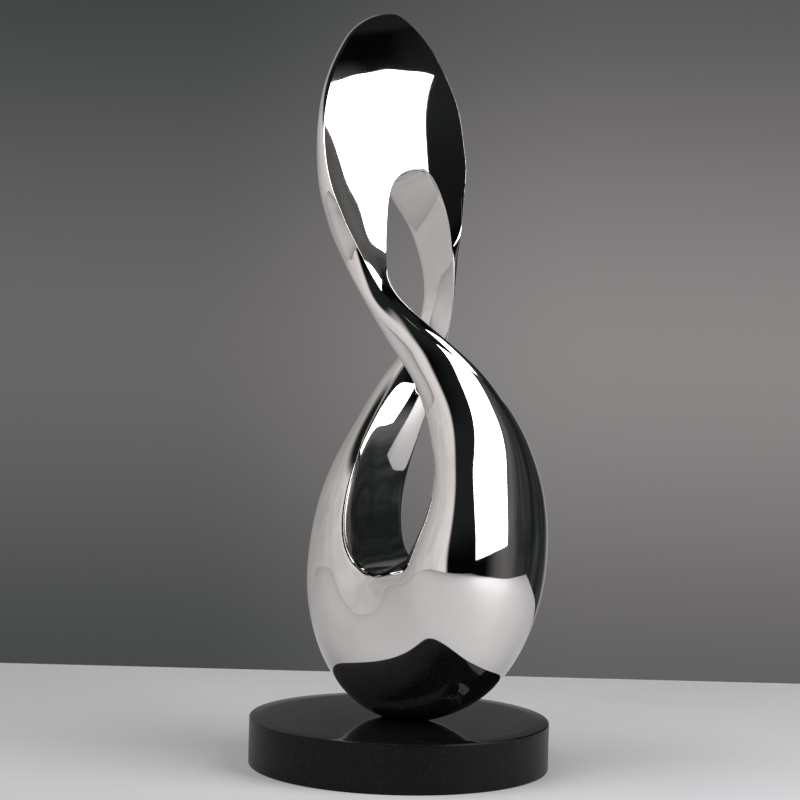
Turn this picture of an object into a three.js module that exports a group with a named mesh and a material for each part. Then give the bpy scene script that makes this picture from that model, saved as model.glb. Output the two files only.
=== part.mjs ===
// Twisted ring sculpture in polished steel on a round stone plinth.
// Units are millimetres, +Z is up, and the origin is the middle of the plinth's underside.
import * as THREE from 'three';

// ---- plinth ----
const plinthRadius = 150;
const plinthHeight = 48;
const plinthBevel = 1.5;
const plinthSides = 128;

// ---- where the ring is seated ----
const seatGap = 0.3;
const seatHeight = plinthHeight + seatGap;

// ---- mesh density of the ring ----
const ringRows = 116;
const trialRows = 480;
const wallColumns = 8;
const frontColumns = 11;
const backColumns = 19;

// ---- the twist, in degrees about the vertical, as a function of height ----
// The ring lies in one upright plane low down, turned a little from the front view,
// and that plane swings round by well over a right angle on the way up.
const lowAzimuth = -28.4;
const mainTurn = -104.6;
const mainTurnFrom = 240;
const mainTurnTo = 561;
const topTurn = -9.4;
const topTurnFrom = 500;
const topTurnTo = 610;

// ---- the line that the two arms turn about, as a function of height ----
const axisOffset = -4.1;
const axisSway = 34.4;
const swayFrom = 165;
const swayTo = 530;
const axisSetback = 34.1;
const setbackFrom = 430;
const setbackTo = 640;

// ---- how far the upper lobe leans back, in degrees ----
const topLean = 13.5;
const leanFrom = 413;
const leanTo = 600;

// ---- stations round the ring ----
// They start under the lower opening, climb the far arm, pass over the top and come down
// the near arm. offset is the distance of the inner wall from the axis, in the ring's own
// plane, and height is above the ground. wall is the width of the inner wall, depth is the
// thickness of the section behind it, and bulge is how far the widest part of the section
// sits outside the wall (negative) or inside it (positive), as a share of the depth.
// ridge is the angle of the ridge in the section, in degrees from the inward direction,
// and hollow is how deeply the face beside it is scooped, as a share of the radius.
const stations = [
  { offset: -5.4, height: 196.4, wall: 114.8, depth: 160.8, bulge: -0.25, ridge: 166.8, hollow: -0.02 },
  { offset: -28.1, height: 207.5, wall: 115.1, depth: 81, bulge: -0.21, ridge: 169.4, hollow: -0.05 },
  { offset: -46.5, height: 241.8, wall: 124.6, depth: 57.4, bulge: -0.16, ridge: 170.6, hollow: -0.05 },
  { offset: -55, height: 283.1, wall: 116.2, depth: 48.7, bulge: -0.18, ridge: 170.1, hollow: 0.03 },
  { offset: -57.1, height: 326.5, wall: 80.9, depth: 39.8, bulge: -0.29, ridge: 168.2, hollow: 0.21 },
  { offset: -55.4, height: 371.4, wall: 44.3, depth: 37.1, bulge: -0.44, ridge: 165, hollow: 0.44 },
  { offset: -52.1, height: 419.9, wall: 31.2, depth: 24.2, bulge: -0.44, ridge: 160, hollow: 0.53 },
  { offset: -53.7, height: 473.9, wall: 31.8, depth: 16, bulge: -0.16, ridge: 154.6, hollow: 0.33 },
  { offset: -40.7, height: 524.8, wall: 46.6, depth: 32.7, bulge: -0.23, ridge: 151.4, hollow: 0.17 },
  { offset: -16.2, height: 562.6, wall: 64.8, depth: 51, bulge: -0.43, ridge: 156.4, hollow: 0.05 },
  { offset: 0.1, height: 582.3, wall: 74.1, depth: 70.6, bulge: -0.4, ridge: 163.2, hollow: 0.01 },
  { offset: 6.7, height: 586.3, wall: 66.3, depth: 139, bulge: -0.24, ridge: 170.9, hollow: 0.01 },
  { offset: 11.5, height: 587.2, wall: 60.1, depth: 185, bulge: 0.03, ridge: 178, hollow: 0.01 },
  { offset: 18.8, height: 587.6, wall: 49.9, depth: 150, bulge: 0.23, ridge: 178, hollow: 0.01 },
  { offset: 35.2, height: 579.9, wall: 40.4, depth: 84.5, bulge: 0.29, ridge: 175.4, hollow: -0.01 },
  { offset: 51.5, height: 547.9, wall: 53.2, depth: 70.5, bulge: 0.04, ridge: 169.3, hollow: -0.02 },
  { offset: 59.3, height: 505.6, wall: 45.5, depth: 41.8, bulge: -0.17, ridge: 150.6, hollow: -0.05 },
  { offset: 68.7, height: 472.3, wall: 24, depth: 16, bulge: -0.35, ridge: 127.3, hollow: -0.14 },
  { offset: 56.2, height: 423.7, wall: 52.2, depth: 20.6, bulge: -0.35, ridge: 106.1, hollow: -0.11 },
  { offset: 44.3, height: 366.5, wall: 83.7, depth: 39.7, bulge: -0.2, ridge: 101.4, hollow: 0.08 },
  { offset: 37.5, height: 314.5, wall: 130.8, depth: 66.2, bulge: -0.31, ridge: 103.9, hollow: 0.14 },
  { offset: 36.5, height: 265.9, wall: 155.9, depth: 96.8, bulge: -0.37, ridge: 111, hollow: 0.12 },
  { offset: 27.9, height: 223.9, wall: 152.6, depth: 123.6, bulge: -0.4, ridge: 128.7, hollow: 0.07 },
  { offset: 11.3, height: 199.1, wall: 131.1, depth: 150, bulge: -0.35, ridge: 156, hollow: 0.02 },
];

// ---- edges of the section: a high value is crisp, a low one is soft ----
const crispEdge = 18;
const softEdge = 3.1;
const softFrom = 17.5;
const softFull = 20.5;
const softFade = 22;
const softEnd = 24;

// ---- height of the ridge as a share of the radius: below zero it is eased into the back ----
const ridgeHeight = -0.02;
const ridgeFrom = 15;
const ridgeFull = 17.3;
const ridgeFade = 18.2;
const ridgeEnd = 20.6;
const ridgeSpread = 0.9;

// ---- the dish that the face of the upper lobe follows ----
// Its depth is a sum of terms: a coefficient in millimetres times powers of the distance
// across and of the height, each counted from the middle of the dish in its own unit.
const dishHeight = 620;
const dishAcrossUnit = 60;
const dishUpUnit = 100;
const dishFrom = 6;
const dishFull = 8.5;
const dishFade = 15.6;
const dishEnd = 18.2;
const dishTerms = [
  { across: 0, up: 0, depth: 4.7 },
  { across: 1, up: 0, depth: 25 },
  { across: 0, up: 1, depth: 19.4 },
  { across: 2, up: 0, depth: -11 },
  { across: 1, up: 1, depth: -9.4 },
  { across: 0, up: 2, depth: 6.9 },
  { across: 3, up: 0, depth: 0.7 },
  { across: 2, up: 1, depth: 6.6 },
  { across: 1, up: 2, depth: 0.5 },
  { across: 0, up: 3, depth: 5.1 },
];

const radians = THREE.MathUtils.degToRad;
const ease = (from, to, value) => THREE.MathUtils.smootherstep(value, from, to);

// Rises from 0 to 1 between the first two values and falls back between the last two.
const plateau = (t, rise, full, fade, end) => ease(rise, full, t) * (1 - ease(fade, end, t));

// Azimuth of the plane that holds both arms at one height.
function planeAzimuth(height) {
  const turned = mainTurn * ease(mainTurnFrom, mainTurnTo, height);
  return radians(lowAzimuth + turned + topTurn * ease(topTurnFrom, topTurnTo, height));
}

// The point at one height that the two arms turn about.
function axisPoint(height) {
  const share = THREE.MathUtils.clamp((height - swayFrom) / (swayTo - swayFrom), 0, 1);
  const x = axisOffset + axisSway * Math.sin(Math.PI * share) ** 2;
  const y = axisSetback * ease(setbackFrom, setbackTo, height);
  return new THREE.Vector3(x, y, height);
}

// One measure of the stations, smoothed round the ring by a closed cubic B-spline.
function smoothed(measure, t) {
  const count = stations.length;
  const first = Math.floor(t);
  const u = t - first;
  const weights = [
    (1 - u) ** 3,
    3 * u ** 3 - 6 * u ** 2 + 4,
    -3 * u ** 3 + 3 * u ** 2 + 3 * u + 1,
    u ** 3,
  ];
  let sum = 0;
  weights.forEach((weight, i) => {
    sum += weight * stations[(first + i - 1 + count) % count][measure];
  });
  return sum / 6;
}

// Middle of the inner wall at parameter t.
function wallPoint(t) {
  const height = smoothed('height', t);
  const offset = smoothed('offset', t);
  const azimuth = planeAzimuth(height);
  const out = new THREE.Vector3(Math.cos(azimuth), Math.sin(azimuth), 0);
  return axisPoint(height).addScaledVector(out, offset);
}

// Directions of the section: across the wall, and from the wall into the opening.
function sectionFrame(t) {
  const height = smoothed('height', t);
  const azimuth = planeAzimuth(height) + Math.PI / 2;
  const lean = radians(topLean) * ease(leanFrom, leanTo, height);
  const across = new THREE.Vector3(
    Math.cos(azimuth) * Math.cos(lean),
    Math.sin(azimuth) * Math.cos(lean),
    Math.sin(lean),
  );
  const step = 0.01;
  const count = stations.length;
  const before = wallPoint((t - step + count) % count);
  const along = wallPoint((t + step) % count).sub(before).normalize();
  const inward = new THREE.Vector3().crossVectors(across, along).normalize();
  return { across, inward };
}

// Angles of one section's points, closer together at the two edges and at the ridge.
function sectionAngles(edgeAngle, ridge) {
  const angles = [];
  const spread = (from, to, columns) => {
    for (let i = 0; i < columns; i += 1) {
      const x = i / columns;
      angles.push(from + (to - from) * (x - 0.11 * Math.sin(2 * Math.PI * x)));
    }
  };
  spread(-edgeAngle, edgeAngle, wallColumns);
  spread(edgeAngle, ridge, frontColumns);
  spread(ridge, 2 * Math.PI - edgeAngle, backColumns);
  return angles;
}

// Depth of the dish, along +Y, at the place of one point.
function dishDepth(point) {
  const across = point.x / dishAcrossUnit;
  const up = (point.z - dishHeight) / dishUpUnit;
  let sum = 0;
  dishTerms.forEach((term) => {
    sum += term.depth * across ** term.across * up ** term.up;
  });
  return sum;
}

// Draws one section to the dish. The face between the wall's far edge and the ridge lies
// in the dish, and the move fades out across the wall and across the back.
function drawToDish(t, points, angles, edgeAngle) {
  const strength = plateau(t, dishFrom, dishFull, dishFade, dishEnd);
  const ridgeColumn = wallColumns + frontColumns;
  const moves = points.map((point) => strength * (dishDepth(point) - point.y));
  points.forEach((point, column) => {
    let move = moves[column];
    if (column < wallColumns) {
      const share = Math.tan(angles[column]) / Math.tan(edgeAngle);
      move = (moves[wallColumns] * (1 + share)) / 2;
    } else if (column > ridgeColumn) {
      const ridge = angles[ridgeColumn];
      const share = (angles[column] - ridge) / (2 * Math.PI - edgeAngle - ridge);
      move = moves[ridgeColumn] * (1 - share) ** 2 * (1 + 2 * share);
    }
    point.y += move;
  });
}

// Points of one section. The wall is a straight line and the back is part of an ellipse.
// Both are measured from a point inside the section, and a power mean joins them.
function sectionPoints(t) {
  const wall = smoothed('wall', t);
  const depth = smoothed('depth', t);
  const shift = smoothed('bulge', t) * depth;
  const { across, inward } = sectionFrame(t);
  const wallGap = 0.4 * depth;
  const centre = wallPoint(t).addScaledVector(inward, -wallGap);
  const halfDepth = depth + shift;
  const halfWidth = wall / 2 / Math.sqrt(1 - (shift / halfDepth) ** 2);
  const edgeAngle = Math.atan2(wall / 2, wallGap);
  const ridge = radians(smoothed('ridge', t));
  const hollow = smoothed('hollow', t);
  const rise = ridgeHeight * plateau(t, ridgeFrom, ridgeFull, ridgeFade, ridgeEnd);
  const softness = plateau(t, softFrom, softFull, softFade, softEnd);
  const nearSharpness = crispEdge + (softEdge - crispEdge) * softness;
  const ellipseShift = wallGap + shift;
  const angles = sectionAngles(edgeAngle, ridge);
  const points = angles.map((angle) => {
    const c = Math.cos(angle);
    const s = Math.sin(angle);
    const a = (c / halfDepth) ** 2 + (s / halfWidth) ** 2;
    const b = (ellipseShift * c) / halfDepth ** 2;
    const d = (ellipseShift / halfDepth) ** 2 - 1;
    let back = (b + Math.sqrt(b * b - a * d)) / a;
    const share = THREE.MathUtils.clamp((ridge - angle) / (ridge - edgeAngle), 0, 1);
    const behind = Math.exp(-(((angle - ridge) / ridgeSpread) ** 2));
    const crest = angle > ridge ? behind : (1 - share) ** 3;
    back *= 1 + rise * crest - hollow * 4 * share * (1 - share) * (1 - 0.35 * share);
    const front = c > 1e-3 ? wallGap / c : 1e6;
    const side = 0.5 + 0.5 * Math.tanh(s / 0.3);
    const power = nearSharpness * (1 - side) + crispEdge * side;
    const radius = (back ** -power + front ** -power) ** (-1 / power);
    const point = centre.clone();
    point.addScaledVector(inward, radius * c);
    point.addScaledVector(across, radius * s);
    return point;
  });
  drawToDish(t, points, angles, edgeAngle);
  points.forEach((point) => {
    point.z = Math.max(point.z, seatHeight);
  });
  return points;
}

// Parameters of the rows, spaced so that the points that travel farthest from one row to
// the next all travel the same distance.
function rowParameters() {
  const count = stations.length;
  const trial = (i) => sectionPoints(((i / trialRows) * count) % count);
  const travelled = [0];
  let before = trial(0);
  for (let i = 1; i <= trialRows; i += 1) {
    const after = trial(i);
    const steps = after.map((point, column) => point.distanceTo(before[column]));
    travelled.push(travelled[i - 1] + Math.max(...steps));
    before = after;
  }
  const parameters = [];
  let i = 0;
  for (let row = 0; row < ringRows; row += 1) {
    const target = (travelled[trialRows] * row) / ringRows;
    while (travelled[i + 1] <= target) i += 1;
    const share = (target - travelled[i]) / (travelled[i + 1] - travelled[i]);
    parameters.push(((i + share) / trialRows) * count);
  }
  return parameters;
}

// Closed mesh over rows of points that wrap both ways.
function ringGeometry() {
  const columns = wallColumns + frontColumns + backColumns;
  const points = rowParameters().flatMap((t) => sectionPoints(t));
  const index = [];
  for (let row = 0; row < ringRows; row += 1) {
    for (let column = 0; column < columns; column += 1) {
      const next = (column + 1) % columns;
      const here = row * columns;
      const above = ((row + 1) % ringRows) * columns;
      index.push(here + column, above + next, above + column);
      index.push(here + column, here + next, above + next);
    }
  }
  return new THREE.BufferGeometry().setFromPoints(points).setIndex(index);
}

// Solid turned about the vertical from rings of given radius and height.
function turnedGeometry(rings, sides) {
  const points = [];
  rings.forEach(({ radius, height }) => {
    for (let i = 0; i < sides; i += 1) {
      const angle = (2 * Math.PI * i) / sides;
      points.push(new THREE.Vector3(radius * Math.cos(angle), radius * Math.sin(angle), height));
    }
  });
  const bottom = points.length;
  points.push(new THREE.Vector3(0, 0, rings[0].height));
  points.push(new THREE.Vector3(0, 0, rings[rings.length - 1].height));
  const index = [];
  for (let i = 0; i < sides; i += 1) {
    const next = (i + 1) % sides;
    const top = (rings.length - 1) * sides;
    index.push(bottom, next, i);
    index.push(bottom + 1, top + i, top + next);
    for (let ring = 0; ring < rings.length - 1; ring += 1) {
      const low = ring * sides;
      const high = low + sides;
      index.push(low + i, low + next, high + next);
      index.push(low + i, high + next, high + i);
    }
  }
  return new THREE.BufferGeometry().setFromPoints(points).setIndex(index);
}

function namedMesh(name, geometry, material) {
  geometry.computeVertexNormals();
  const mesh = new THREE.Mesh(geometry, new THREE.MeshStandardMaterial(material));
  mesh.name = name;
  return mesh;
}

const sculpture = new THREE.Group();
sculpture.name = 'twisted_ring_sculpture';
sculpture.add(namedMesh(
  'twisted_ring',
  ringGeometry(),
  { color: 0xd6d3d0, roughness: 0.05, metalness: 1 },
));
sculpture.add(namedMesh(
  'plinth',
  turnedGeometry([
    { radius: plinthRadius - plinthBevel, height: 0 },
    { radius: plinthRadius, height: plinthBevel },
    { radius: plinthRadius, height: plinthHeight - plinthBevel },
    { radius: plinthRadius - plinthBevel, height: plinthHeight },
  ], plinthSides),
  { color: 0x141716, roughness: 0.12, metalness: 0 },
));

export default sculpture;
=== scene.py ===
import math

import bpy
import numpy as np
from mathutils import Matrix, Vector


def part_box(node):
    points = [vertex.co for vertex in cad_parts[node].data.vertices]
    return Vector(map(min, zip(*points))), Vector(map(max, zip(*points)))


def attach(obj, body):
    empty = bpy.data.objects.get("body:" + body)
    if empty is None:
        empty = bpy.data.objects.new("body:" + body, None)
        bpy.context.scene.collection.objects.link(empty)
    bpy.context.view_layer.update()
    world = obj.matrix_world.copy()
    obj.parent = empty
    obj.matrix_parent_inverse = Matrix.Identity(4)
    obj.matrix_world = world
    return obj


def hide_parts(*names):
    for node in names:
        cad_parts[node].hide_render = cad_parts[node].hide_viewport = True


# A twisted ring of mirror-polished steel on a round slab of black granite.
# Metres, +Z up, the origin in the middle of the slab's underside.

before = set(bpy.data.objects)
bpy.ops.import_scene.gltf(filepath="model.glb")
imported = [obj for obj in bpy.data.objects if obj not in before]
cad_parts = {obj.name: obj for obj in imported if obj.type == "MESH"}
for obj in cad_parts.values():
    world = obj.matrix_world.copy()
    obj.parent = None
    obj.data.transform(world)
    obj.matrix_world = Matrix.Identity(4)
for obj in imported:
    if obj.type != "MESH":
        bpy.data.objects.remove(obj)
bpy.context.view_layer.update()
print("loaded", sorted(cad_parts))


# small helpers

# Rises from 0 to 1 between two values, as 6x^5 - 15x^4 + 10x^3 of the share of the way.
def ease(start, end, value):
    x = np.clip((value - start) / (end - start), 0, 1)
    return x**3 * (x * (6 * x - 15) + 10)


# Rises to 1 between the first two values and falls back to 0 between the last two.
def plateau(value, rise, full, fade, end):
    return ease(rise, full, value) * (1 - ease(fade, end, value))


# Closed surface over a grid of points (rows, columns, 3) that wraps both ways or only
# along its columns, with a ready-made list of extra faces for the ends.
def meshFromGrid(name, points, wrapRows, extraPoints=None, extraFaces=None):
    rows, columns = points.shape[:2]
    last = rows if wrapRows else rows - 1
    row = np.arange(last)[:, None]
    column = np.arange(columns)[None]
    here = row * columns + column
    beside = row * columns + (column + 1) % columns
    above = ((row + 1) % rows) * columns + column
    across = ((row + 1) % rows) * columns + (column + 1) % columns
    quads = np.stack([here, beside, across, above], -1).reshape(-1, 4)
    vertices = points.reshape(-1, 3)
    faces = quads.tolist()
    if extraPoints is not None:
        vertices = np.vstack([vertices, extraPoints])
        faces += extraFaces
    mesh = bpy.data.meshes.new(name)
    mesh.from_pydata(vertices.tolist(), [], faces)
    mesh.polygons.foreach_set("use_smooth", np.ones(len(mesh.polygons), bool))
    mesh.validate()
    piece = bpy.data.objects.new(name, mesh)
    bpy.context.scene.collection.objects.link(piece)
    return piece


# camera

cameraSet = {
    "position": (-0.0075, -2.485, 0.490),
    "downTilt": 2.86,      # degrees below level
    "roll": 1.5,           # degrees
    "lens": 112.5,         # mm on a 36 mm sensor
}


# The camera looks along +Y, tipped down by a tilt, then turned about its own line of sight.
def makeCamera(values):
    tilt = math.radians(values["downTilt"])
    roll = math.radians(values["roll"])
    ahead = np.array([0, math.cos(tilt), -math.sin(tilt)])
    right = np.array([1, 0, 0])
    up = np.cross(right, ahead)
    turnedRight = math.cos(roll) * right + math.sin(roll) * up
    turnedUp = math.cos(roll) * up - math.sin(roll) * right
    data = bpy.data.cameras.new("camera")
    data.lens = values["lens"]
    data.sensor_width = 36
    camera = bpy.data.objects.new("camera", data)
    matrix = Matrix.Identity(4)
    for axis, vector in enumerate((turnedRight, turnedUp, -ahead)):
        for i in range(3):
            matrix[i][axis] = vector[i]
    for i in range(3):
        matrix[i][3] = values["position"][i]
    camera.matrix_world = matrix
    bpy.context.scene.collection.objects.link(camera)
    bpy.context.scene.camera = camera


makeCamera(cameraSet)
print("camera set")


# twisted ring

ringSet = {
    "rows": 560,
    "trialRows": 2400,
    "wallColumns": 44,
    "frontColumns": 50,
    "backColumns": 82,
    "lowAzimuth": -28.4,            # degrees about the vertical
    "mainTurn": (-104.6, 240, 561), # degrees, from height, to height
    "topTurn": (-9.4, 500, 610),
    "axisOffset": -4.1,
    "axisSway": (34.4, 165, 530),
    "axisSetback": (34.1, 430, 640),
    "topLean": (13.5, 413, 600),
    "crispEdge": 18,
    "softEdge": 3.1,
    "softSpan": (17.5, 20.5, 22, 24),
    "ridgeHeight": -0.02,
    "ridgeSpan": (15, 17.3, 18.2, 20.6),
    "ridgeSpread": 0.9,
    "dishMiddle": 620,
    "dishUnits": (60, 100),         # mm across and up
    "dishSpan": (6, 8.5, 15.6, 18.2),
    "innerPoint": 0.4,              # depth of the polar centre, as a share of the depth
    "crowding": 0.11,               # how far points are drawn to the ends of a span
    "sideBlend": 0.3,               # width of the change from near edge to far edge
    "hollowSlant": 0.35,            # how much the hollow leans towards the ridge
    "directionStep": 0.01,          # stations to each side, for the path's direction
    "handWave": 0.10,               # mm, height of the hand-ground undulation
    "waveLengths": (92, 61, 47, 33), # mm
    "waveTurn": 2.4,                # radians between one wave's direction and the next
    "waveSlopes": (0.7, 0.3),       # upward slope of the first wave, less for each next
    "wavePhase": 1.7,
}

# Stations round the ring in millimetres: distance of the inner wall from the axis, height,
# width of the inner wall, thickness behind it, bulge as a share of that thickness, angle of
# the ridge in degrees, and hollow beside the ridge as a share of the section's radius.
# They start under the lower opening, climb the far arm and come down the near arm.
# Nearly all of these numbers come from a least-squares fit and were then rounded, as do
# eleven of ringSet's: the low azimuth, the sizes of the turns, sway, setback and lean, the
# main turn's two heights, the axis offset, the soft edge and the ridge's height. They
# weren't chosen by hand.
ringStations = np.array([
    (-5.4, 196.4, 114.8, 160.8, -0.25, 166.8, -0.02),
    (-28.1, 207.5, 115.1, 81, -0.21, 169.4, -0.05),
    (-46.5, 241.8, 124.6, 57.4, -0.16, 170.6, -0.05),
    (-55, 283.1, 116.2, 48.7, -0.18, 170.1, 0.03),
    (-57.1, 326.5, 80.9, 39.8, -0.29, 168.2, 0.21),
    (-55.4, 371.4, 44.3, 37.1, -0.44, 165, 0.44),
    (-52.1, 419.9, 31.2, 24.2, -0.44, 160, 0.53),
    (-53.7, 473.9, 31.8, 16, -0.16, 154.6, 0.33),
    (-40.7, 524.8, 46.6, 32.7, -0.23, 151.4, 0.17),
    (-16.2, 562.6, 64.8, 51, -0.43, 156.4, 0.05),
    (0.1, 582.3, 74.1, 70.6, -0.4, 163.2, 0.01),
    (6.7, 586.3, 66.3, 139, -0.24, 170.9, 0.01),
    (11.5, 587.2, 60.1, 185, 0.03, 178, 0.01),
    (18.8, 587.6, 49.9, 150, 0.23, 178, 0.01),
    (35.2, 579.9, 40.4, 84.5, 0.29, 175.4, -0.01),
    (51.5, 547.9, 53.2, 70.5, 0.04, 169.3, -0.02),
    (59.3, 505.6, 45.5, 41.8, -0.17, 150.6, -0.05),
    (68.7, 472.3, 24, 16, -0.35, 127.3, -0.14),
    (56.2, 423.7, 52.2, 20.6, -0.35, 106.1, -0.11),
    (44.3, 366.5, 83.7, 39.7, -0.2, 101.4, 0.08),
    (37.5, 314.5, 130.8, 66.2, -0.31, 103.9, 0.14),
    (36.5, 265.9, 155.9, 96.8, -0.37, 111, 0.12),
    (27.9, 223.9, 152.6, 123.6, -0.4, 128.7, 0.07),
    (11.3, 199.1, 131.1, 150, -0.35, 156, 0.02),
])

# Terms of the dish: power of the distance across, power of the height, millimetres. The
# millimetres come from the same fit.
dishTerms = np.array([
    (0, 0, 4.7),
    (1, 0, 25),
    (0, 1, 19.4),
    (2, 0, -11),
    (1, 1, -9.4),
    (0, 2, 6.9),
    (3, 0, 0.7),
    (2, 1, 6.6),
    (1, 2, 0.5),
    (0, 3, 5.1),
])


# Value of the stations at parameter t: a closed cubic B-spline through their neighbourhood.
def splineValue(stations, t):
    count = len(stations)
    first = np.floor(t).astype(int)
    u = (t - first)[:, None]
    return (
        (1 - u) ** 3 * stations[(first - 1) % count]
        + (3 * u**3 - 6 * u**2 + 4) * stations[first % count]
        + (-3 * u**3 + 3 * u**2 + 3 * u + 1) * stations[(first + 1) % count]
        + u**3 * stations[(first + 2) % count]
    ) / 6


# Azimuth of the plane that holds both arms: a low value plus two eased turns with height.
def planeAzimuth(values, height):
    main, mainFrom, mainTo = values["mainTurn"]
    top, topFrom, topTo = values["topTurn"]
    turned = main * ease(mainFrom, mainTo, height) + top * ease(topFrom, topTo, height)
    return np.radians(values["lowAzimuth"] + turned)


# Middle of the inner wall: a point of the swaying axis plus the offset along the plane.
def wallPoint(values, stations, t):
    offset, height = splineValue(stations[:, :2], t).T
    sway, swayFrom, swayTo = values["axisSway"]
    setback, setbackFrom, setbackTo = values["axisSetback"]
    share = np.clip((height - swayFrom) / (swayTo - swayFrom), 0, 1)
    azimuth = planeAzimuth(values, height)
    x = values["axisOffset"] + sway * np.sin(np.pi * share) ** 2 + offset * np.cos(azimuth)
    y = setback * ease(setbackFrom, setbackTo, height) + offset * np.sin(azimuth)
    return np.stack([x, y, height], -1)


# Vectors divided by their own length.
def unit(vectors):
    return vectors / np.linalg.norm(vectors, axis=-1, keepdims=True)


# Directions of the section: across the wall, and inward from the wall to the opening,
# which is the cross product of across and the path's direction.
def sectionFrame(values, stations, t, height):
    lean, leanFrom, leanTo = values["topLean"]
    azimuth = planeAzimuth(values, height) + np.pi / 2
    tilt = np.radians(lean) * ease(leanFrom, leanTo, height)
    across = np.stack([
        np.cos(azimuth) * np.cos(tilt),
        np.sin(azimuth) * np.cos(tilt),
        np.sin(tilt),
    ], -1)
    count = len(stations)
    step = values["directionStep"]
    after = wallPoint(values, stations, (t + step) % count)
    before = wallPoint(values, stations, (t - step) % count)
    inward = unit(np.cross(across, unit(after - before)))
    return across, inward


# Angles of a section's points: three spans, from edge to edge, edge to ridge and ridge to
# edge, each with its points drawn towards its ends by a sine.
def sectionAngles(values, edgeAngle, ridge):
    def spread(start, end, columns):
        x = np.arange(columns) / columns
        x = x - values["crowding"] * np.sin(2 * np.pi * x)
        return start[:, None] + (end - start)[:, None] * x

    return np.concatenate([
        spread(-edgeAngle, edgeAngle, values["wallColumns"]),
        spread(edgeAngle, ridge, values["frontColumns"]),
        spread(ridge, 2 * np.pi - edgeAngle, values["backColumns"]),
    ], 1)


smallCosine = 1e-3    # below this a ray from the centre misses the wall
farAway = 1e6


# Points of every section. The wall is a straight line and the back is part of an ellipse,
# both measured from a point inside, and a power mean of the two radii joins them. The back
# radius also grows at the ridge and shrinks in the hollow between the ridge and the edge.
def ringPoints(values, stations, t):
    _, height, wall, depth, bulge, ridge, hollow = splineValue(stations, t).T
    across, inward = sectionFrame(values, stations, t, height)
    shift = bulge * depth
    wallGap = values["innerPoint"] * depth
    halfDepth = (depth + shift)[:, None]
    halfWidth = (wall / 2)[:, None] / np.sqrt(1 - (shift[:, None] / halfDepth) ** 2)
    centre = wallPoint(values, stations, t) - wallGap[:, None] * inward
    edgeAngle = np.arctan2(wall / 2, wallGap)
    ridge = np.radians(ridge)
    angle = sectionAngles(values, edgeAngle, ridge)
    c, s = np.cos(angle), np.sin(angle)
    a = (c / halfDepth) ** 2 + (s / halfWidth) ** 2
    middle = (wallGap + shift)[:, None]
    b = middle * c / halfDepth**2
    back = (b + np.sqrt(b * b - a * ((middle / halfDepth) ** 2 - 1))) / a
    ridge = ridge[:, None]
    share = np.clip((ridge - angle) / (ridge - edgeAngle[:, None]), 0, 1)
    behind = np.exp(-(((angle - ridge) / values["ridgeSpread"]) ** 2))
    crest = np.where(angle > ridge, behind, (1 - share) ** 3)
    rise = (values["ridgeHeight"] * plateau(t, *values["ridgeSpan"]))[:, None]
    slant = 1 - values["hollowSlant"] * share
    scoop = hollow[:, None] * 4 * share * (1 - share) * slant
    back = back * (1 + rise * crest - scoop)
    front = np.where(c > smallCosine, wallGap[:, None] / np.maximum(c, smallCosine), farAway)
    side = 0.5 + 0.5 * np.tanh(s / values["sideBlend"])
    softness = plateau(t, *values["softSpan"])[:, None]
    near = values["crispEdge"] + (values["softEdge"] - values["crispEdge"]) * softness
    power = near * (1 - side) + values["crispEdge"] * side
    radius = (back**-power + front**-power) ** (-1 / power)
    direction = c[..., None] * inward[:, None] + s[..., None] * across[:, None]
    points = centre[:, None] + radius[..., None] * direction
    return drawToDish(values, t, points, angle, edgeAngle[:, None])


# Depth of the dish along +Y: a sum of powers of the distance across and of the height.
def dishDepth(values, terms, points):
    acrossUnit, upUnit = values["dishUnits"]
    across = points[..., 0] / acrossUnit
    up = (points[..., 2] - values["dishMiddle"]) / upUnit
    depth = np.zeros(points.shape[:2])
    for acrossPower, upPower, factor in terms:
        depth += factor * across**acrossPower * up**upPower
    return depth


# The face between the wall's far edge and the ridge is moved along Y into the dish. The
# move fades in proportion across the wall and as (1 - x)^2 (1 + 2x) across the back.
def drawToDish(values, t, points, angle, edgeAngle):
    wallEnd = values["wallColumns"]
    ridgeColumn = wallEnd + values["frontColumns"]
    strength = plateau(t, *values["dishSpan"])[:, None]
    move = strength * (dishDepth(values, dishTerms, points) - points[..., 1])
    wallShare = np.tan(angle[:, :wallEnd]) / np.tan(edgeAngle)
    ridge = angle[:, ridgeColumn:ridgeColumn + 1]
    backShare = (angle[:, ridgeColumn + 1:] - ridge) / (2 * np.pi - edgeAngle - ridge)
    backMove = move[:, ridgeColumn:ridgeColumn + 1] * (1 - backShare) ** 2
    move[:, ridgeColumn + 1:] = backMove * (1 + 2 * backShare)
    move[:, :wallEnd] = move[:, wallEnd:wallEnd + 1] * (1 + wallShare) / 2
    points[..., 1] += move
    return points


# Parameters of the rows: the largest step between neighbouring rows of a fine trial is
# added up round the ring, and the rows stand at equal shares of the total.
def evenRows(values, stations):
    trial = np.linspace(0, len(stations), values["trialRows"] + 1)
    points = ringPoints(values, stations, trial)
    steps = np.linalg.norm(np.diff(points, axis=0), axis=-1).max(1)
    travelled = np.concatenate([[0], np.cumsum(steps)])
    shares = np.arange(values["rows"]) / values["rows"]
    return np.interp(shares * travelled[-1], travelled, trial)


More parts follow.
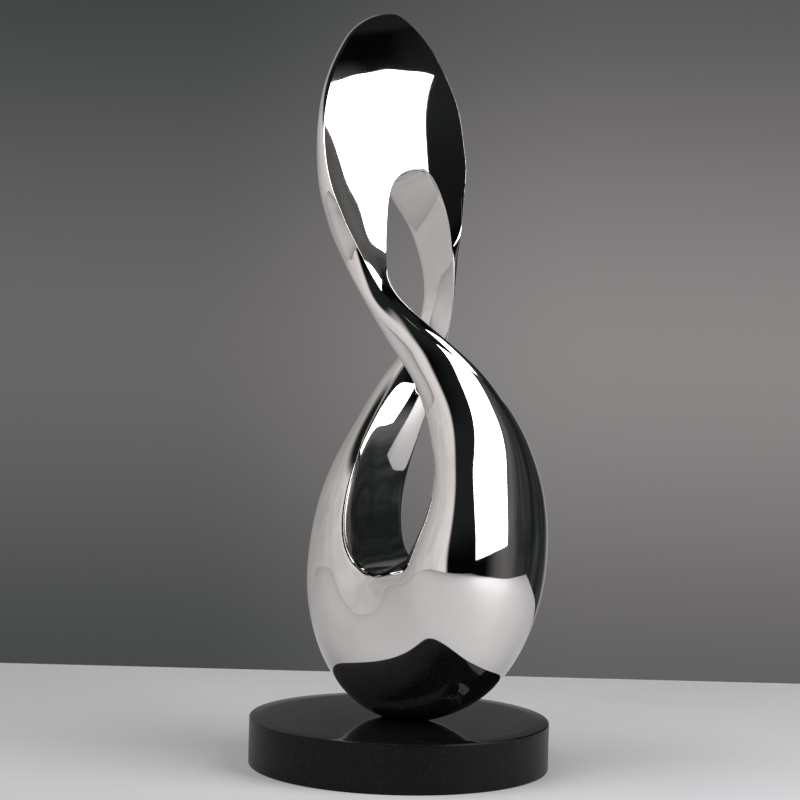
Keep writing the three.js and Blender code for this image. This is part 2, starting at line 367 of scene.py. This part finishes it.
# Slow undulation left by grinding: the sum of four sines along slanted directions, moved
# along the surface normal, which is the cross product of the two grid directions.
def handWave(values, points):
    alongRows = np.roll(points, -1, 0) - np.roll(points, 1, 0)
    alongColumns = np.roll(points, -1, 1) - np.roll(points, 1, 1)
    normal = unit(np.cross(alongColumns, alongRows))
    wave = np.zeros(points.shape[:2])
    longest = values["waveLengths"][0]
    slope, lessSlope = values["waveSlopes"]
    for i, wavelength in enumerate(values["waveLengths"]):
        turn = values["waveTurn"] * i
        direction = unit(np.array([math.cos(turn), math.sin(turn), slope - lessSlope * i]))
        phase = 2 * np.pi * points @ direction / wavelength + values["wavePhase"] * i
        wave += np.sin(phase) * (wavelength / longest)
    return points + values["handWave"] * wave[..., None] * normal


# The surface is worked out in millimetres, its heights are drawn to the CAD node's own
# seat and top, and its lowest part is cut flat on the seat.
def makeRing(values, stations):
    low, high = (np.array(corner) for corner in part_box("twisted_ring"))
    points = ringPoints(values, stations, evenRows(values, stations))
    points = handWave(values, points) / 1000
    seat, top = low[2], high[2]
    points[..., 2] = np.maximum(points[..., 2], seat)
    stretch = (top - seat) / (points[..., 2].max() - seat)
    points[..., 2] = seat + (points[..., 2] - seat) * stretch
    ring = meshFromGrid("polished_ring", points, True)
    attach(ring, "root")
    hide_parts("twisted_ring")
    return ring


ring = makeRing(ringSet, ringStations)
print("ring made", len(ring.data.polygons))


# plinth

plinthSet = {
    "sides": 256,
    "bevel": 0.0016,
    "bevelSteps": 6,
    "faceRings": 10,
    "sideRings": 12,
}


# A profile of radius and height turned about the vertical. The bevels are quarter circles,
# the faces run from the axis to them in equal steps, and both ends close on the axis.
def makePlinth(values):
    low, high = (np.array(corner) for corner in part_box("plinth"))
    radius = (high[0] - low[0]) / 2
    bottom, top = low[2], high[2]
    bevel = values["bevel"]
    quarter = np.linspace(0, np.pi / 2, values["bevelSteps"] + 1)
    inner = radius - bevel
    out = np.linspace(1 / values["faceRings"], 1, values["faceRings"])[:-1] * inner
    rise = np.linspace(bottom + bevel, top - bevel, values["sideRings"])[1:-1]
    profileRadius = np.concatenate([
        out, inner + bevel * np.sin(quarter), np.full(len(rise), radius),
        inner + bevel * np.cos(quarter), out[::-1],
    ])
    profileHeight = np.concatenate([
        np.full(len(out), bottom), bottom + bevel * (1 - np.cos(quarter)), rise,
        top - bevel * (1 - np.sin(quarter)), np.full(len(out), top),
    ])
    angle = np.arange(values["sides"]) * 2 * np.pi / values["sides"]
    points = np.stack([
        profileRadius[:, None] * np.cos(angle),
        profileRadius[:, None] * np.sin(angle),
        np.broadcast_to(profileHeight[:, None], (len(profileRadius), len(angle))),
    ], -1)
    sides = values["sides"]
    count = points.shape[0] * sides
    lastRow = count - sides
    poles = [(0, 0, bottom), (0, 0, top)]
    caps = [(count, (i + 1) % sides, i) for i in range(sides)]
    caps += [(count + 1, lastRow + i, lastRow + (i + 1) % sides) for i in range(sides)]
    plinth = meshFromGrid("granite_plinth", points, False, poles, caps)
    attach(plinth, "root")
    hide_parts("plinth")
    return plinth


plinth = makePlinth(plinthSet)
print("plinth made", len(plinth.data.polygons))


# shader groups

# An empty node group with named inputs, each with its own value, and named outputs.
def newGroup(name, inputs, outputs):
    group = bpy.data.node_groups.new(name, "ShaderNodeTree")
    for label, kind, value in inputs:
        socket = group.interface.new_socket(label, in_out="INPUT", socket_type=kind)
        socket.default_value = value
    for label, kind in outputs:
        group.interface.new_socket(label, in_out="OUTPUT", socket_type=kind)
    return group


# One node of a kind, with its settings.
def addNode(tree, kind, **settings):
    node = tree.nodes.new(kind)
    for key, value in settings.items():
        setattr(node, key, value)
    return node


# One math node; each input is a number or another node's socket.
def addMath(tree, operation, *inputs):
    node = addNode(tree, "ShaderNodeMath", operation=operation)
    for socket, value in zip(node.inputs, inputs):
        if isinstance(value, (int, float)):
            socket.default_value = value
        else:
            tree.links.new(value, socket)
    return node.outputs[0]


# A value carried from one range to another, clamped, with a smooth start and end.
def addRange(tree, value, fromLow, fromHigh, toLow, toHigh, kind="SMOOTHSTEP"):
    node = addNode(tree, "ShaderNodeMapRange", interpolation_type=kind)
    tree.links.new(value, node.inputs["Value"])
    pairs = (("From Min", fromLow), ("From Max", fromHigh), ("To Min", toLow), ("To Max", toHigh))
    for label, number in pairs:
        if isinstance(number, (int, float)):
            node.inputs[label].default_value = number
        else:
            tree.links.new(number, node.inputs[label])
    return node.outputs["Result"]


# Fractal noise from 0 to 1; the scale is a number or another node's socket.
def addNoise(tree, vector, scale, detail=3.0, roughness=0.5, distortion=0.0):
    node = addNode(tree, "ShaderNodeTexNoise")
    tree.links.new(vector, node.inputs["Vector"])
    if isinstance(scale, (int, float)):
        node.inputs["Scale"].default_value = scale
    else:
        tree.links.new(scale, node.inputs["Scale"])
    node.inputs["Detail"].default_value = detail
    node.inputs["Roughness"].default_value = roughness
    node.inputs["Distortion"].default_value = distortion
    return node.outputs["Fac"]


# Finger and cloth marks: wide clouds cut by finer streaks, as a mask from 0 to 1.
def makeSmudgeGroup():
    group = newGroup(
        "handSmudges",
        [("Vector", "NodeSocketVector", (0, 0, 0)), ("Scale", "NodeSocketFloat", 9.0),
         ("Cover", "NodeSocketFloat", 0.5)],
        [("Mask", "NodeSocketFloat")],
    )
    source = addNode(group, "NodeGroupInput")
    result = addNode(group, "NodeGroupOutput")
    vector, scale, cover = (source.outputs[label] for label in ("Vector", "Scale", "Cover"))
    cloud = addNoise(group, vector, scale, 4.0, 0.6, 0.8)
    stretch = addNode(group, "ShaderNodeMapping")
    stretch.inputs["Rotation"].default_value = (0.5, 0.35, 0.9)
    stretch.inputs["Scale"].default_value = (6.0, 1.0, 2.2)
    group.links.new(vector, stretch.inputs["Vector"])
    streak = addNoise(group, stretch.outputs["Vector"], addMath(group, "MULTIPLY", scale, 4.0))
    edge = addMath(group, "SUBTRACT", 1.0, cover)
    wide = addRange(group, cloud, edge, addMath(group, "ADD", edge, 0.22), 0.0, 1.0)
    fine = addRange(group, streak, 0.35, 0.65, 0.35, 1.0)
    group.links.new(addMath(group, "MULTIPLY", wide, fine), result.inputs["Mask"])
    return group


# Settled dust: small round specks, one in each of some Voronoi cells, as a mask.
def makeDustGroup():
    group = newGroup(
        "settledDust",
        [("Vector", "NodeSocketVector", (0, 0, 0)), ("Scale", "NodeSocketFloat", 420.0),
         ("Size", "NodeSocketFloat", 0.16), ("Share", "NodeSocketFloat", 0.06)],
        [("Mask", "NodeSocketFloat")],
    )
    source = addNode(group, "NodeGroupInput")
    result = addNode(group, "NodeGroupOutput")
    cells = addNode(group, "ShaderNodeTexVoronoi", feature="F1")
    group.links.new(source.outputs["Vector"], cells.inputs["Vector"])
    group.links.new(source.outputs["Scale"], cells.inputs["Scale"])
    split = addNode(group, "ShaderNodeSeparateColor")
    group.links.new(cells.outputs["Color"], split.inputs[0])
    chosen = addMath(group, "LESS_THAN", split.outputs[0], source.outputs["Share"])
    speck = addRange(group, cells.outputs["Distance"], source.outputs["Size"], 0.0, 0.0, 1.0)
    group.links.new(addMath(group, "MULTIPLY", chosen, speck), result.inputs["Mask"])
    return group


smudgeGroup = makeSmudgeGroup()
dustGroup = makeDustGroup()


# One use of a group at a place, with its own values; gives back the group's mask.
def placeGroup(tree, group, vector, **values):
    node = addNode(tree, "ShaderNodeGroup", node_tree=group)
    tree.links.new(vector, node.inputs["Vector"])
    for label, value in values.items():
        node.inputs[label].default_value = value
    return node.outputs["Mask"]


# A material with a single shader, and the object coordinates that its pattern follows.
def newMaterial(name):
    material = bpy.data.materials.new(name)
    material.use_nodes = True
    tree = material.node_tree
    tree.nodes.clear()
    shader = addNode(tree, "ShaderNodeBsdfPrincipled")
    output = addNode(tree, "ShaderNodeOutputMaterial")
    tree.links.new(shader.outputs[0], output.inputs["Surface"])
    place = addNode(tree, "ShaderNodeTexCoord").outputs["Object"]
    return material, tree, shader, place


# Colour that goes from one value to another with a mask.
def mixColours(tree, mask, first, second):
    node = addNode(tree, "ShaderNodeMix", data_type="RGBA")
    tree.links.new(mask, node.inputs["Factor"])
    for socket, value in ((node.inputs[6], first), (node.inputs[7], second)):
        if isinstance(value, tuple):
            socket.default_value = (*value, 1)
        else:
            tree.links.new(value, socket)
    return node.outputs[2]


# Several masks, each times its weight, added to a starting value.
def addWeighted(tree, start, *terms):
    total = start
    for mask, weight in terms:
        node = addNode(tree, "ShaderNodeMath", operation="MULTIPLY_ADD")
        tree.links.new(mask, node.inputs[0])
        node.inputs[1].default_value = weight
        if isinstance(total, (int, float)):
            node.inputs[2].default_value = total
        else:
            tree.links.new(total, node.inputs[2])
        total = node.outputs[0]
    return total


steelSet = {
    "colour": (0.80, 0.785, 0.765),
    "hazeColour": (0.70, 0.685, 0.66),
    "roughness": 0.02,
    "smudgeRoughness": 0.035,
    "grainRoughness": 0.02,
    "dustRoughness": 0.3,
    "rippleHeight": 0.00002,       # m
    "rippleScale": 38.0,           # repeats a metre
    "grainScale": 90.0,
    "grainTurn": (0.2, 0.9, 0.4),  # radians
    "grainStretch": (1.0, 7.0, 1.0),
    "hazeScale": 14.0,
    "hazeSpan": (0.4, 0.75, 0.0, 0.6),
    "smudges": {"Scale": 11.0, "Cover": 0.46},
    "dust": {"Scale": 520.0, "Size": 0.13, "Share": 0.04},
}


# Mirror polish: low roughness that rises a little in smudges, in buffing grain and under
# dust, and a faint ripple in the normal left by the polishing wheel.
def makeSteel(values):
    material, tree, shader, place = newMaterial("mirrorPolishedSteel")
    smudge = placeGroup(tree, smudgeGroup, place, **values["smudges"])
    dust = placeGroup(tree, dustGroup, place, **values["dust"])
    stretch = addNode(tree, "ShaderNodeMapping")
    stretch.inputs["Rotation"].default_value = values["grainTurn"]
    stretch.inputs["Scale"].default_value = values["grainStretch"]
    tree.links.new(place, stretch.inputs["Vector"])
    grain = addNoise(tree, stretch.outputs["Vector"], values["grainScale"], 5.0, 0.65, 0.6)
    haze = addNoise(tree, place, values["hazeScale"], 4.0, 0.55, 0.4)
    base = mixColours(tree, addRange(tree, haze, *values["hazeSpan"]),
                      values["colour"], values["hazeColour"])
    tree.links.new(base, shader.inputs["Base Color"])
    roughness = addWeighted(
        tree, values["roughness"],
        (smudge, values["smudgeRoughness"]),
        (grain, values["grainRoughness"]),
        (dust, values["dustRoughness"]),
    )
    tree.links.new(roughness, shader.inputs["Roughness"])
    shader.inputs["Metallic"].default_value = 1.0
    ripple = addNoise(tree, place, values["rippleScale"], 2.0, 0.4, 0.0)
    bump = addNode(tree, "ShaderNodeBump")
    bump.inputs["Strength"].default_value = 1.0
    bump.inputs["Distance"].default_value = values["rippleHeight"]
    tree.links.new(ripple, bump.inputs["Height"])
    tree.links.new(bump.outputs["Normal"], shader.inputs["Normal"])
    return material


stoneSet = {
    "colour": (0.0030, 0.0042, 0.0036),
    "fleckColour": (0.014, 0.017, 0.0155),
    "dustColour": (0.12, 0.118, 0.115),
    "topRoughness": 0.045,
    "rimRoughness": 0.30,
    "specularLevel": 0.12,
    "refraction": 1.56,
    "topDepth": (0.0012, 0.0002),  # m below the top, from rim finish to top finish
    "fleckScale": 620.0,           # repeats a metre
    "fleckShare": 0.20,
    "cloudScale": 60.0,
    "cloudRoughness": 0.05,
    "smudges": {"Scale": 14.0, "Cover": 0.5},
    "smudgeRoughness": 0.05,
    "dust": {"Scale": 520.0, "Size": 0.17, "Share": 0.05},
    "dustRoughness": 0.4,
    "lineScale": (30.0, 30.0, 900.0),
    "lineHeight": 0.00004,         # m
}


# Black granite: a near-black ground with fine grey flecks, polished on top and duller on
# the rim, where the saw and the fine wheel leave faint level lines.
def makeStone(values):
    material, tree, shader, place = newMaterial("blackGranite")
    height = addNode(tree, "ShaderNodeSeparateXYZ")
    tree.links.new(place, height.inputs[0])
    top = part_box("plinth")[1][2]
    lower, upper = (top - depth for depth in values["topDepth"])
    onTop = addRange(tree, height.outputs["Z"], lower, upper, 0.0, 1.0)
    crystals = addNode(tree, "ShaderNodeTexVoronoi", feature="F1")
    crystals.inputs["Scale"].default_value = values["fleckScale"]
    tree.links.new(place, crystals.inputs["Vector"])
    split = addNode(tree, "ShaderNodeSeparateColor")
    tree.links.new(crystals.outputs["Color"], split.inputs[0])
    fleck = addRange(tree, split.outputs[1], 1 - values["fleckShare"], 1.0, 0.0, 1.0)
    cloud = addNoise(tree, place, values["cloudScale"], 4.0, 0.6, 0.3)
    mottled = addMath(tree, "MULTIPLY", fleck, addRange(tree, cloud, 0.35, 0.7, 0.25, 1.0))
    ground = mixColours(tree, mottled, values["colour"], values["fleckColour"])
    dust = placeGroup(tree, dustGroup, place, **values["dust"])
    base = mixColours(tree, dust, ground, values["dustColour"])
    tree.links.new(base, shader.inputs["Base Color"])
    smudge = placeGroup(tree, smudgeGroup, place, **values["smudges"])
    rim = addMath(tree, "SUBTRACT", 1.0, onTop)
    roughness = addWeighted(
        tree, values["topRoughness"],
        (rim, values["rimRoughness"] - values["topRoughness"]),
        (smudge, values["smudgeRoughness"]),
        (cloud, values["cloudRoughness"]),
        (dust, values["dustRoughness"]),
    )
    tree.links.new(roughness, shader.inputs["Roughness"])
    shader.inputs["IOR"].default_value = values["refraction"]
    shader.inputs["Specular IOR Level"].default_value = values["specularLevel"]
    lines = addNode(tree, "ShaderNodeMapping")
    lines.inputs["Scale"].default_value = values["lineScale"]
    tree.links.new(place, lines.inputs["Vector"])
    scored = addNoise(tree, lines.outputs["Vector"], 1.0, 3.0, 0.6, 0.0)
    bump = addNode(tree, "ShaderNodeBump")
    bump.inputs["Distance"].default_value = values["lineHeight"]
    bump.inputs["Strength"].default_value = 1.0
    tree.links.new(addMath(tree, "MULTIPLY", scored, rim), bump.inputs["Height"])
    tree.links.new(bump.outputs["Normal"], shader.inputs["Normal"])
    return material


ring.data.materials.append(makeSteel(steelSet))
plinth.data.materials.append(makeStone(stoneSet))
print("materials made")


# studio

# The softbox's azimuth, height and size and the pale wall's end follow the light directions
# that the ring's fit gave. The other values were set one by one.
studioSet = {
    "middle": (0, 0, 0.42),         # what the softbox is aimed at
    "tableLow": (-1.5, -1.9),
    "tableHigh": (1.5, 0.575),
    "tableThickness": 0.03,
    "tableColour": (0.74, 0.73, 0.75),
    "tableDarker": 0.96,
    "tableRoughness": 0.7,
    "softboxAzimuth": 65.4,         # degrees to the right of the lens
    "softboxHeight": 23.6,          # degrees above level
    "softboxDistance": 1.5,
    "softboxSize": (1.22, 1.60),
    "softboxPower": 25.0,
    "fillPosition": (-1.1, -0.5, 1.5),
    "fillTarget": (0.2, 0.1, 0.0),
    "fillSize": 1.4,
    "fillPower": 14.0,
    "gapLevels": (0.0018, 0.016),   # dark gap left of the softbox, level and overhead
    "gapRise": (0.05, 0.5),         # upward part of the direction
    "darkLevel": 0.031,             # dark room to the right of the softbox
    "darkFrom": (60, 85),           # degrees of azimuth
    "glowLevel": 0.11,              # spill on the room just right of the softbox
    "glowSpan": (86, 112),
    "overheadLevels": (0.002, 0.013), # beside the softbox, and beyond
    "overheadRise": (0.62, 0.78),
    "beyondSpan": (35, 55),
    "beyondRise": (0.86, 0.90),
    "paleLevels": (0.30, 0.80),     # the left wall, from behind the sculpture to the front
    "paleStart": (-179, -171),
    "paleEnd": (-8.3, -0.3),
    "paleToneSpan": (-170, -13.3),
    "paleRise": (0.75, 0.9),
    "backLevels": (0.34, 0.20),     # the backdrop's left and right, as the steel sees it
    "backAcross": (0.2, 0.45),
    "backSpan": (152, 163),
    "backRise": (0.11, 0.19, 1.0, 0.28),
    "seenLow": (-0.17, -0.03, 0.118, 0.246),  # the backdrop as the lens sees it
    "seenHigh": (-0.03, 0.13, 1.0, 0.40),
    "seenAcross": (-0.09, 0.08, 0.55, 1.0),
    "cloudScale": 2.2,
    "streakScale": 7.0,
    "streakSquash": 0.06,
    "darkTint": (0.92, 1.01, 1.03),
    "paleTint": (1.02, 0.98, 0.97),
    "paleTintFrom": 0.16,
}


# The table: a flat slab whose top is level with the plinth's underside.
def makeTable(values):
    (x0, y0), (x1, y1) = values["tableLow"], values["tableHigh"]
    z0, z1 = -values["tableThickness"], 0.0
    corners = [(x, y, z) for z in (z0, z1) for x, y in ((x0, y0), (x1, y0), (x1, y1), (x0, y1))]
    faces = [(3, 2, 1, 0), (4, 5, 6, 7), (0, 1, 5, 4), (1, 2, 6, 5), (2, 3, 7, 6), (3, 0, 4, 7)]
    mesh = bpy.data.meshes.new("table_top")
    mesh.from_pydata(corners, [], faces)
    table = bpy.data.objects.new("table_top", mesh)
    bpy.context.scene.collection.objects.link(table)
    material, tree, shader, place = newMaterial("paleTable")
    tone = addRange(tree, addNoise(tree, place, 3.0, 4.0, 0.6), 0.3, 0.7, 0.0, 1.0)
    darker = tuple(values["tableDarker"] * level for level in values["tableColour"])
    base = mixColours(tree, tone, darker, values["tableColour"])
    tree.links.new(base, shader.inputs["Base Color"])
    shader.inputs["Roughness"].default_value = values["tableRoughness"]
    mesh.materials.append(material)


# A rectangular area light aimed at the sculpture's middle, placed by azimuth, height angle
# and distance from there.
def makeSoftbox(values):
    data = bpy.data.lights.new("softbox", "AREA")
    data.shape = "RECTANGLE"
    data.size, data.size_y = values["softboxSize"]
    data.energy = values["softboxPower"]
    light = bpy.data.objects.new("softbox", data)
    azimuth = math.radians(values["softboxAzimuth"])
    lift = math.radians(values["softboxHeight"])
    away = np.array([
        math.cos(lift) * math.sin(azimuth),
        -math.cos(lift) * math.cos(azimuth),
        math.sin(lift),
    ])
    position = np.array(values["middle"]) + values["softboxDistance"] * away
    right = unit(np.cross([0, 0, 1], away))
    up = np.cross(away, right)
    matrix = Matrix.Identity(4)
    for axis, vector in enumerate((right, up, away, position)):
        for i in range(3):
            matrix[i][axis] = vector[i]
    light.matrix_world = matrix
    bpy.context.scene.collection.objects.link(light)


# A square light that evens out the table's tone and is not mirrored in the steel.
def makeFill(values):
    data = bpy.data.lights.new("fill", "AREA")
    data.size = values["fillSize"]
    data.energy = values["fillPower"]
    light = bpy.data.objects.new("fill", data)
    light.location = values["fillPosition"]
    down = Vector(values["fillTarget"]) - light.location
    light.rotation_euler = down.to_track_quat("-Z", "Y").to_euler()
    light.visible_glossy = False
    bpy.context.scene.collection.objects.link(light)


# What surrounds the table, by direction: a dim room with soft clouds of tone, a pale wall
# on the left and a grey backdrop behind. The lens sees only the backdrop's grey.
def makeSurroundings(values):
    world = bpy.data.worlds.new("studio")
    world.use_nodes = True
    bpy.context.scene.world = world
    tree = world.node_tree
    tree.nodes.clear()
    direction = addNode(tree, "ShaderNodeTexCoord").outputs["Generated"]
    split = addNode(tree, "ShaderNodeSeparateXYZ")
    tree.links.new(direction, split.inputs[0])
    x, y, z = (split.outputs[i] for i in range(3))
    azimuth = addMath(tree, "ARCTAN2", x, addMath(tree, "MULTIPLY", y, -1.0))
    azimuth = addMath(tree, "MULTIPLY", azimuth, 180 / math.pi)
    cloud = addNoise(tree, direction, values["cloudScale"], 5.0, 0.6, 0.5)
    upright = addNode(tree, "ShaderNodeMapping")
    upright.inputs["Scale"].default_value = (1.0, 1.0, values["streakSquash"])
    tree.links.new(direction, upright.inputs["Vector"])
    streak = addNoise(tree, upright.outputs["Vector"], values["streakScale"], 3.0, 0.6)
    room = addMath(tree, "MULTIPLY",
                   addRange(tree, cloud, 0.38, 0.68, 0.6, 1.5),
                   addRange(tree, streak, 0.35, 0.65, 0.6, 1.5))
    room = addMath(tree, "MULTIPLY", room, values["darkLevel"])
    room = addMath(tree, "ADD", room,
                   addRange(tree, azimuth, *values["glowSpan"], values["glowLevel"], 0.0))
    gap = addRange(tree, z, *values["gapRise"], *values["gapLevels"])
    inRoom = addRange(tree, azimuth, *values["darkFrom"], 0.0, 1.0)
    dark = addRange(tree, inRoom, 0, 1, gap, room, "LINEAR")
    beyond = addMath(tree, "MAXIMUM",
                     addRange(tree, azimuth, *values["beyondSpan"], 1.0, 0.0),
                     addRange(tree, z, *values["beyondRise"], 0.0, 1.0))
    overhead = addRange(tree, beyond, 0, 1, *values["overheadLevels"], "LINEAR")
    above = addRange(tree, z, *values["overheadRise"], 0.0, 1.0)
    dark = addRange(tree, above, 0, 1, dark, overhead, "LINEAR")
    pale = addMath(tree, "MULTIPLY",
                   addRange(tree, azimuth, *values["paleStart"], 0.0, 1.0),
                   addRange(tree, azimuth, *values["paleEnd"], 1.0, 0.0))
    pale = addMath(tree, "MULTIPLY", pale, addRange(tree, z, *values["paleRise"], 1.0, 0.0))
    paleTone = addRange(tree, azimuth, *values["paleToneSpan"], *values["paleLevels"], "LINEAR")
    paleTone = addMath(tree, "MULTIPLY", paleTone, addRange(tree, cloud, 0.3, 0.75, 1.05, 0.85))
    behind = addMath(tree, "MULTIPLY",
                     addRange(tree, addMath(tree, "ABSOLUTE", azimuth),
                              *values["backSpan"], 0.0, 1.0),
                     addRange(tree, z, *values["backRise"]))
    backTone = addRange(tree, x, *values["backAcross"], *values["backLevels"])
    level = addRange(tree, behind, 0, 1, dark, backTone, "LINEAR")
    level = addRange(tree, pale, 0, 1, level, paleTone, "LINEAR")
    rise = addMath(tree, "MULTIPLY",
                   addRange(tree, z, *values["seenLow"]),
                   addRange(tree, z, *values["seenHigh"]))
    sideways = addRange(tree, x, *values["seenAcross"])
    seen = addMath(tree, "MULTIPLY", rise, sideways)
    shown = addNode(tree, "ShaderNodeLightPath").outputs["Is Camera Ray"]
    total = addRange(tree, shown, 0, 1, level, seen, "LINEAR")
    colour = addNode(tree, "ShaderNodeCombineColor")
    tints = zip(values["darkTint"], values["paleTint"])
    for i, (darkTint, paleTint) in enumerate(tints):
        tint = addRange(tree, total, 0.0, values["paleTintFrom"], darkTint, paleTint)
        tree.links.new(addMath(tree, "MULTIPLY", total, tint), colour.inputs[i])
    background = addNode(tree, "ShaderNodeBackground")
    tree.links.new(colour.outputs[0], background.inputs["Color"])
    output = addNode(tree, "ShaderNodeOutputWorld")
    tree.links.new(background.outputs[0], output.inputs["Surface"])


makeTable(studioSet)
makeSoftbox(studioSet)
makeFill(studioSet)
makeSurroundings(studioSet)
bpy.context.scene.view_settings.view_transform = "Standard"
print("studio set")
